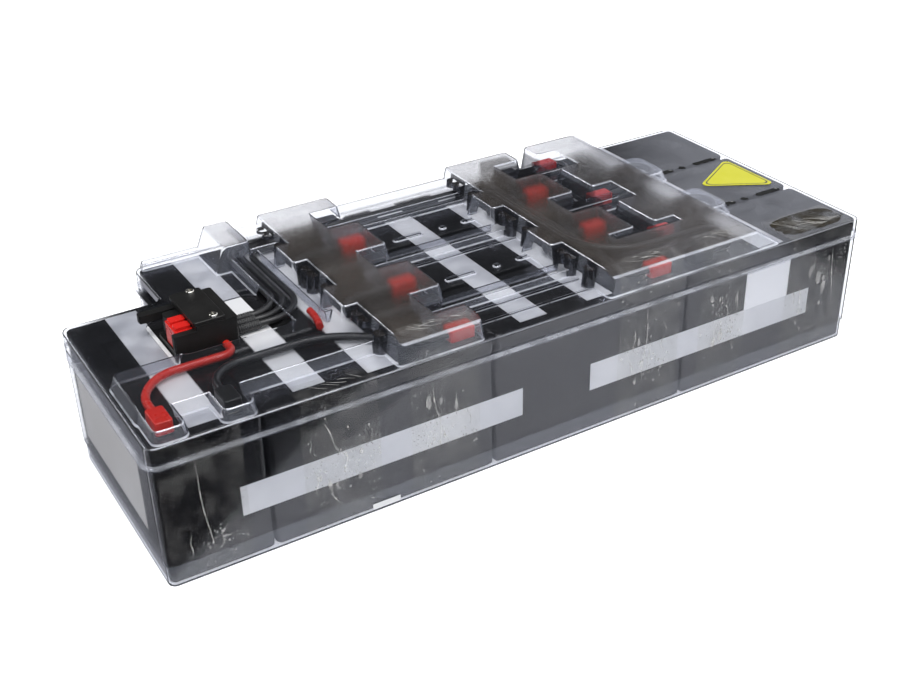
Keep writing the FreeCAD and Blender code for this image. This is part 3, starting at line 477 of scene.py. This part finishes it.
rng = random.Random(41)
air_marks, creases = Shape(), Shape()
for left, right_side, over_dome, share in TAPES:
    first_tape = left < 1.0
    top = 107.0 if over_dome else 93.5
    spots = [(rng.uniform(left + 3, right_side - 3), rng.uniform(8, 78)) for _ in range(11)]
    if over_dome:
        spots += [(rng.uniform(left + 4, right_side - 6), rng.uniform(88, 105)) for _ in range(3)]
    for _ in range(int(210 * share)):
        if rng.random() < 0.7:
            spot = rng.choice(spots)
            x, z = rng.gauss(spot[0], 3.6), rng.gauss(spot[1], 5.5)
        else:
            x, z = rng.uniform(left + 1, right_side - 1), rng.uniform(3, top)
        x = min(max(x, left + 0.8), right_side - 0.8)
        if first_tape and z > 12.0:
            z = 3.0 + (z - 3.0) * 0.5
        blocked = any(low < z < high for low, high in BARE_BANDS)
        # hardly any show on the dark part of the first tape
        blocked = blocked or (first_tape and z > 16.0 + 0.75 * x)
        if blocked or not 3.0 < z < top:
            continue
        bubble(air_marks, x, z, rng.uniform(0.22, 0.5) + 0.45 * rng.random() ** 4,
               rng.uniform(0.9, 1.7), over_dome, rng)
    for _ in range(0 if first_tape else 5):
        bubble(air_marks, rng.uniform(left + 6, right_side - 6), rng.uniform(24, 72),
               rng.uniform(0.8, 1.5), rng.uniform(1.6, 3.0), over_dome, rng)
    for _ in range(0 if first_tape else 4):
        x, z = rng.uniform(left + 4, right_side - 4), rng.uniform(34, 79)
        wrinkle(creases, x, z, x + rng.uniform(-2, 3), z - rng.uniform(9, 18),
                rng.uniform(0.4, 0.9), over_dome, rng)
for *ends, width, over_dome in LONG_CREASES:
    wrinkle(creases, *ends, width, over_dome, rng)
for x, z, radius in LARGE_BUBBLES:
    bubble(air_marks, x, z, radius, 2.6, False, rng)
keep("tape_air_marks", air_marks.mesh("tape_air_marks"), trapped_air)
keep("tape_creases", creases.mesh("tape_creases"), crease)


def over_top(x, y, on_dome):
    """A place on the tape where it lies on the lid or on the bevel of a dome."""
    z = LID_FLOOR
    if on_dome:
        z = DOME_TOP - 2.5 * min(max(1 - (y + 1.0) / 11.0, 0.0), 1.0)
    return at(x, y, z + 0.22)


def fan(shape, x0, y0, x1, y1, bow, width, on_dome):
    """A bowed pleat of the tape on top of the pack."""
    path, widths = [], []
    for i in range(17):
        t = i / 16
        path.append(over_top(x0 + (x1 - x0) * t, y0 + (y1 - y0) * t
                             + bow * math.sin(math.pi * t), on_dome))
        widths.append(width * (0.3 + 0.7 * math.sin(math.pi * min(max(t, 0.04), 0.96))))
    shape.strip(path, widths, ACROSS, UP, 0.05)


glue, pleats = Shape(), Shape()
outline = []
for i in range(60):
    turn = 2 * math.pi * i / 60
    # a rounded rectangle
    square = (abs(math.cos(turn)) ** 4 + abs(math.sin(turn)) ** 4) ** -0.25
    reach = square * rng.uniform(0.90, 1.0)
    outline.append(over_top(485.5 + 28.5 * reach * math.cos(turn),
                            15.0 + 13.5 * reach * math.sin(turn), False) - UP * (0.03 * MM))
glue.patch(outline, UP, 0.02)
for i in range(15):
    fan(pleats, 461.0 + 2.6 * i, 27.0 - 0.8 * i, 474.0 + 2.7 * i, 2.2 + 0.5 * i,
        rng.uniform(-4.0, 2.0), rng.uniform(0.5, 1.1), False)
for left, right_side in ((156.0, 204.0), (310.0, 360.0), (378.0, 418.0)):
    for i in range(6):
        x = rng.uniform(left + 3, right_side - 18)
        fan(pleats, x, rng.uniform(5, 12), x + rng.uniform(8, 16), rng.uniform(1, 9),
            rng.uniform(-2.5, 2.5), rng.uniform(0.35, 0.8), True)
for i in range(5):
    x = rng.uniform(88, 122)
    fan(pleats, x, rng.uniform(6, 13), x + rng.uniform(5, 11), rng.uniform(1, 4),
        rng.uniform(-1.5, 1.5), rng.uniform(0.35, 0.6), False)
keep("tape_glue", glue.mesh("tape_glue"), brown_glue)
keep("tape_pleats", pleats.mesh("tape_pleats"), crease)

# ------------------------------------------------------------------ small things
# dark border line inside the edge of the yellow triangle
middle = at(498.2, 102.5, 0)
corners = [v.co.copy() for v in nodes["triangle_sticker"].data.vertices]
peak = max(p.z for p in corners)
edge_line = {}
for p in corners:
    if p.z > peak - 0.00005:
        edge_line[round(math.atan2(p.y - middle.y, p.x - middle.x), 3)] = p
rings = []
for turn in sorted(edge_line):
    p = edge_line[turn]
    ring = []
    for share, lift in ((0.90, 0.01), (0.855, 0.01), (0.855, 0.05), (0.90, 0.05)):
        ring.append(Vector((middle.x + (p.x - middle.x) * share,
                            middle.y + (p.y - middle.y) * share, peak + lift * MM)))
    rings.append(ring)
border = Shape()
border.loops(rings, closed=True)
keep("triangle_border", border.mesh("triangle_border"), dark_line)

# painted shade and painted highlight: black patches lie in the dimples between the rows, where
# shade makes them look black from the side, with a painted glint at one end
DIMPLE_SPANS = ((453.0, 467.5), (473.8, 479.2), (488.0, 510.0))
DIMPLE_RADIUS = 2.6
GLINT_WIDTHS = (0.25, 0.4, 0.5, 0.55, 0.6, 0.55, 0.5, 0.4, 0.25)
dimple_shade_patches, glints = Shape(), Shape()
for y in ROW_SEAMS:
    for x0, x1 in DIMPLE_SPANS:
        outline = []
        for k in range(24):
            turn = 2 * math.pi * k / 24
            middle_x = x1 - DIMPLE_RADIUS if math.cos(turn) > 0 else x0 + DIMPLE_RADIUS
            outline.append(at(middle_x + DIMPLE_RADIUS * math.cos(turn),
                              y + DIMPLE_RADIUS * math.sin(turn), LID_FLOOR + 0.02))
        dimple_shade_patches.patch(outline, UP, 0.04)
        if x1 - x0 > 8:                  # the round dimple has none
            arc = [0.2 + 0.16 * k for k in range(len(GLINT_WIDTHS))]
            glints.strip([at(x1 - 3.4 + 2.2 * math.cos(t), y + 2.0 * math.sin(t),
                             LID_FLOOR + 0.08) for t in arc], GLINT_WIDTHS, ALONG, UP, 0.04)
keep("dimple_shadows", dimple_shade_patches.mesh("dimple_shadows"), painted_shade_black)
keep("dimple_glints", glints.mesh("dimple_glints"), white_film)


def block(shape, x0, x1, y0, y1, z0, z1):
    """A plain box."""
    shape.loops([[at(x, y0, z0), at(x, y1, z0), at(x, y1, z1), at(x, y0, z1)]
                 for x in (x0, x1)])


# a scrap of white film on the plinth
scrap = Shape()
block(scrap, 128.0, 147.0, -1.45, -1.35, 2.6, 6.6)
keep("plinth_scrap", scrap.mesh("plinth_scrap"), white_film)


TUBE_SIDES = 20
LOOP_HEIGHT = 100.6
LOOP_REACH = 11.0                        # half the distance between the ends of a loop


def tube(shape, path, radius):
    """A round cable along a level path."""
    rings = []
    for i, point in enumerate(path):
        ahead = (path[min(i + 1, len(path) - 1)] - path[max(i - 1, 0)]).normalized()
        side = Vector((ahead.y, -ahead.x, 0)).normalized()
        rings.append([point + (side * math.cos(2 * math.pi * k / TUBE_SIDES)
                               + UP * math.sin(2 * math.pi * k / TUBE_SIDES)) * (radius * MM)
                      for k in range(TUBE_SIDES)])
    shape.loops(rings)


# bows of the last series loops under their covers beyond the long slope
bows = Shape()
for centre in LOOP_CENTRES:
    path = [at(424.0 + i * 1.5, centre - LOOP_REACH, LOOP_HEIGHT) for i in range(9)]
    path += [at(437.0 + 9.6 * math.cos(t), centre + LOOP_REACH * math.sin(t), LOOP_HEIGHT)
             for t in [math.pi * (i / 20 - 0.5) for i in range(1, 20)]]
    path += [at(436.0 - i * 1.5, centre + LOOP_REACH, LOOP_HEIGHT) for i in range(9)]
    tube(bows, path, 2.3)
keep("loop_bows", bows.mesh("loop_bows"), black_cable)
# the sheet under the bows looks milky
haze = Shape()
for centre in LOOP_CENTRES:
    block(haze, 428.0, 448.5, centre - 16.0, centre + 16.0, 97.0, 97.3)
keep("loop_haze", haze.mesh("loop_haze"), milky)

# end of a red sleeve beside the leads under the ridge
stub = Shape()
tube(stub, [at(134.4 - 3.4 * (i / 14) ** 2, 84.0 - i * 1.55, 98.9) for i in range(15)], 2.3)
keep("red_stub", stub.mesh("red_stub"), red_cable)

# ribbed sleeves on the three leads behind the connector
SLEEVE_SIDES = 28
SLEEVE_HEIGHT = 99.1
RIBS = [(84.2 + 0.75 * i, 2.56 + (0.34 if i % 2 else 0.0)) for i in range(24)]
sleeves = Shape()
for y in (86.0, 92.2, 98.4):
    sleeves.loops([[at(x, y + radius * math.cos(2 * math.pi * k / SLEEVE_SIDES),
                       SLEEVE_HEIGHT + radius * math.sin(2 * math.pi * k / SLEEVE_SIDES))
                    for k in range(SLEEVE_SIDES)] for x, radius in RIBS])
keep("lead_sleeves", sleeves.mesh("lead_sleeves"), black_cable)

# ------------------------------------------------------------------ light, floor, camera
BACKDROP_EDGE = math.radians(51.5)       # the pale backdrop ends at this azimuth
FLOOR_HALF = 6.0
FLOOR_GLOW = 0.62
FLAG_ORIGIN = at(14, -20, 0)             # the black flags are placed from here
CAMERA_PLACE = at(-145.28, -560.71, 483.83)
CAMERA_RIGHT = Vector((0.85537055, -0.51764773, -0.01954628))
CAMERA_AHEAD = Vector((0.43892263, 0.74429079, -0.50336681))
CAMERA_LENS = 51.4


def lamp(name, place, aim, size, power, colour):
    """A soft rectangular lamp turned to its aim."""
    data = bpy.data.lights.new(name, "AREA")
    data.shape = "RECTANGLE"
    data.size, data.size_y = size
    data.energy = power
    data.color = colour
    light = bpy.data.objects.new(name, data)
    light.location = place
    light.rotation_euler = (Vector(aim) - Vector(place)).to_track_quat("-Z", "Y").to_euler()
    scene.collection.objects.link(light)


lamp("overhead", (-0.2, -0.5, 1.6), (0, 0, 0), (1.5, 1.0), 26.0, (1.0, 0.995, 0.985))
lamp("front_left", (-1.2, -1.1, 0.7), (0, 0, 0.05), (0.8, 0.7), 4.0, (0.88, 0.93, 1.0))
lamp("back", (-1.1, 1.5, 1.5), (0.0, 0, 0.05), (0.8, 0.5), 10.0, (1.0, 1.0, 1.0))

wg = Graph("studio", "World")
rays = wg.add("LightPath").outputs
soft = wg.add("Background", {"Color": (0.90, 0.93, 0.98, 1), "Strength": 0.5})
# beyond the floor the camera sees a pale grey
pale = wg.add("Background", {"Color": (0.8, 0.8, 0.8, 1), "Strength": 1.0})
# in reflections the studio has a pale backdrop on the right and is dark elsewhere
side = wg.add("VectorMath", {0: wg.add("TexCoord").outputs["Generated"],
                             1: (math.sin(BACKDROP_EDGE), -math.cos(BACKDROP_EDGE), -0.05)},
              operation="DOT_PRODUCT").outputs["Value"]
mirrored = wg.add("Background", {"Color": (0.94, 0.96, 1.0, 1),
                                 "Strength": wg.ramp(side, -0.05, 0.04, 0.05, 1.25)})
straight = wg.math("MAXIMUM", rays["Is Camera Ray"], rays["Is Transmission Ray"])
around = blend(wg, rays["Is Glossy Ray"], soft.outputs[0], mirrored.outputs[0])
scene.world = wg.finish(blend(wg, straight, around, pale.outputs[0]))

floor_mesh = bpy.data.meshes.new("floor")
floor_mesh.from_pydata([(x * FLOOR_HALF, y * FLOOR_HALF, 0)
                        for x, y in ((-1, -1), (1, -1), (1, 1), (-1, 1))], [], [(0, 1, 2, 3)])
floor = bpy.data.objects.new("floor", floor_mesh)
floor.location.z = -0.0002
scene.collection.objects.link(floor)
fg = Graph("floor")
rays = fg.add("LightPath").outputs
lit = fg.add("BsdfDiffuse", {"Color": (0.93, 0.93, 0.935, 1)})
# black flags lie on the floor at the front left, the left and the right; only glossy
# surfaces show them
spot = fg.add("SeparateXYZ", {0: fg.add("VectorMath", {0: fg.coords(), 1: FLAG_ORIGIN},
                                        operation="SUBTRACT").outputs[0]})
across = fg.math("ADD", fg.math("MULTIPLY", spot.outputs["X"], 0.56),
                 fg.math("MULTIPLY", spot.outputs["Y"], 0.828))
flag = fg.ramp(across, 0.006, -0.004)
flag = fg.math("MAXIMUM", flag, fg.ramp(spot.outputs["X"], -0.012, -0.026, 0.0, 0.8))
flag = fg.math("MAXIMUM", flag, fg.ramp(spot.outputs["X"], 0.560, 0.600, 0.0, 0.85))
flag = fg.math("MULTIPLY", flag, rays["Is Glossy Ray"])
black = fg.add("BsdfDiffuse", {"Color": (0.004, 0.004, 0.004, 1)})
shown = blend(fg, flag, lit.outputs[0], black.outputs[0])
# the camera sees the lit floor and a glow added to it, so that it looks white
glow = fg.add("Emission", {"Color": (1, 1, 1, 1), "Strength": FLOOR_GLOW})
straight = fg.math("MAXIMUM", rays["Is Camera Ray"], rays["Is Transmission Ray"])
half = blend(fg, 0.5, lit.outputs[0], glow.outputs[0])
both = fg.add("AddShader", {0: half, 1: half})
floor_mesh.materials.append(fg.finish(blend(fg, straight, shown, both.outputs[0])))

camera_data = bpy.data.cameras.new("camera")
camera_data.sensor_width = 36.0
camera_data.lens = CAMERA_LENS
camera = bpy.data.objects.new("camera", camera_data)
camera_up = CAMERA_RIGHT.cross(CAMERA_AHEAD)
facing = Matrix((CAMERA_RIGHT, camera_up, -CAMERA_AHEAD)).transposed().to_4x4()
camera.matrix_world = Matrix.Translation(CAMERA_PLACE) @ facing
scene.collection.objects.link(camera)
scene.camera = camera
scene.view_settings.view_transform = "Standard"
scene.cycles.transparent_max_bounces = 32
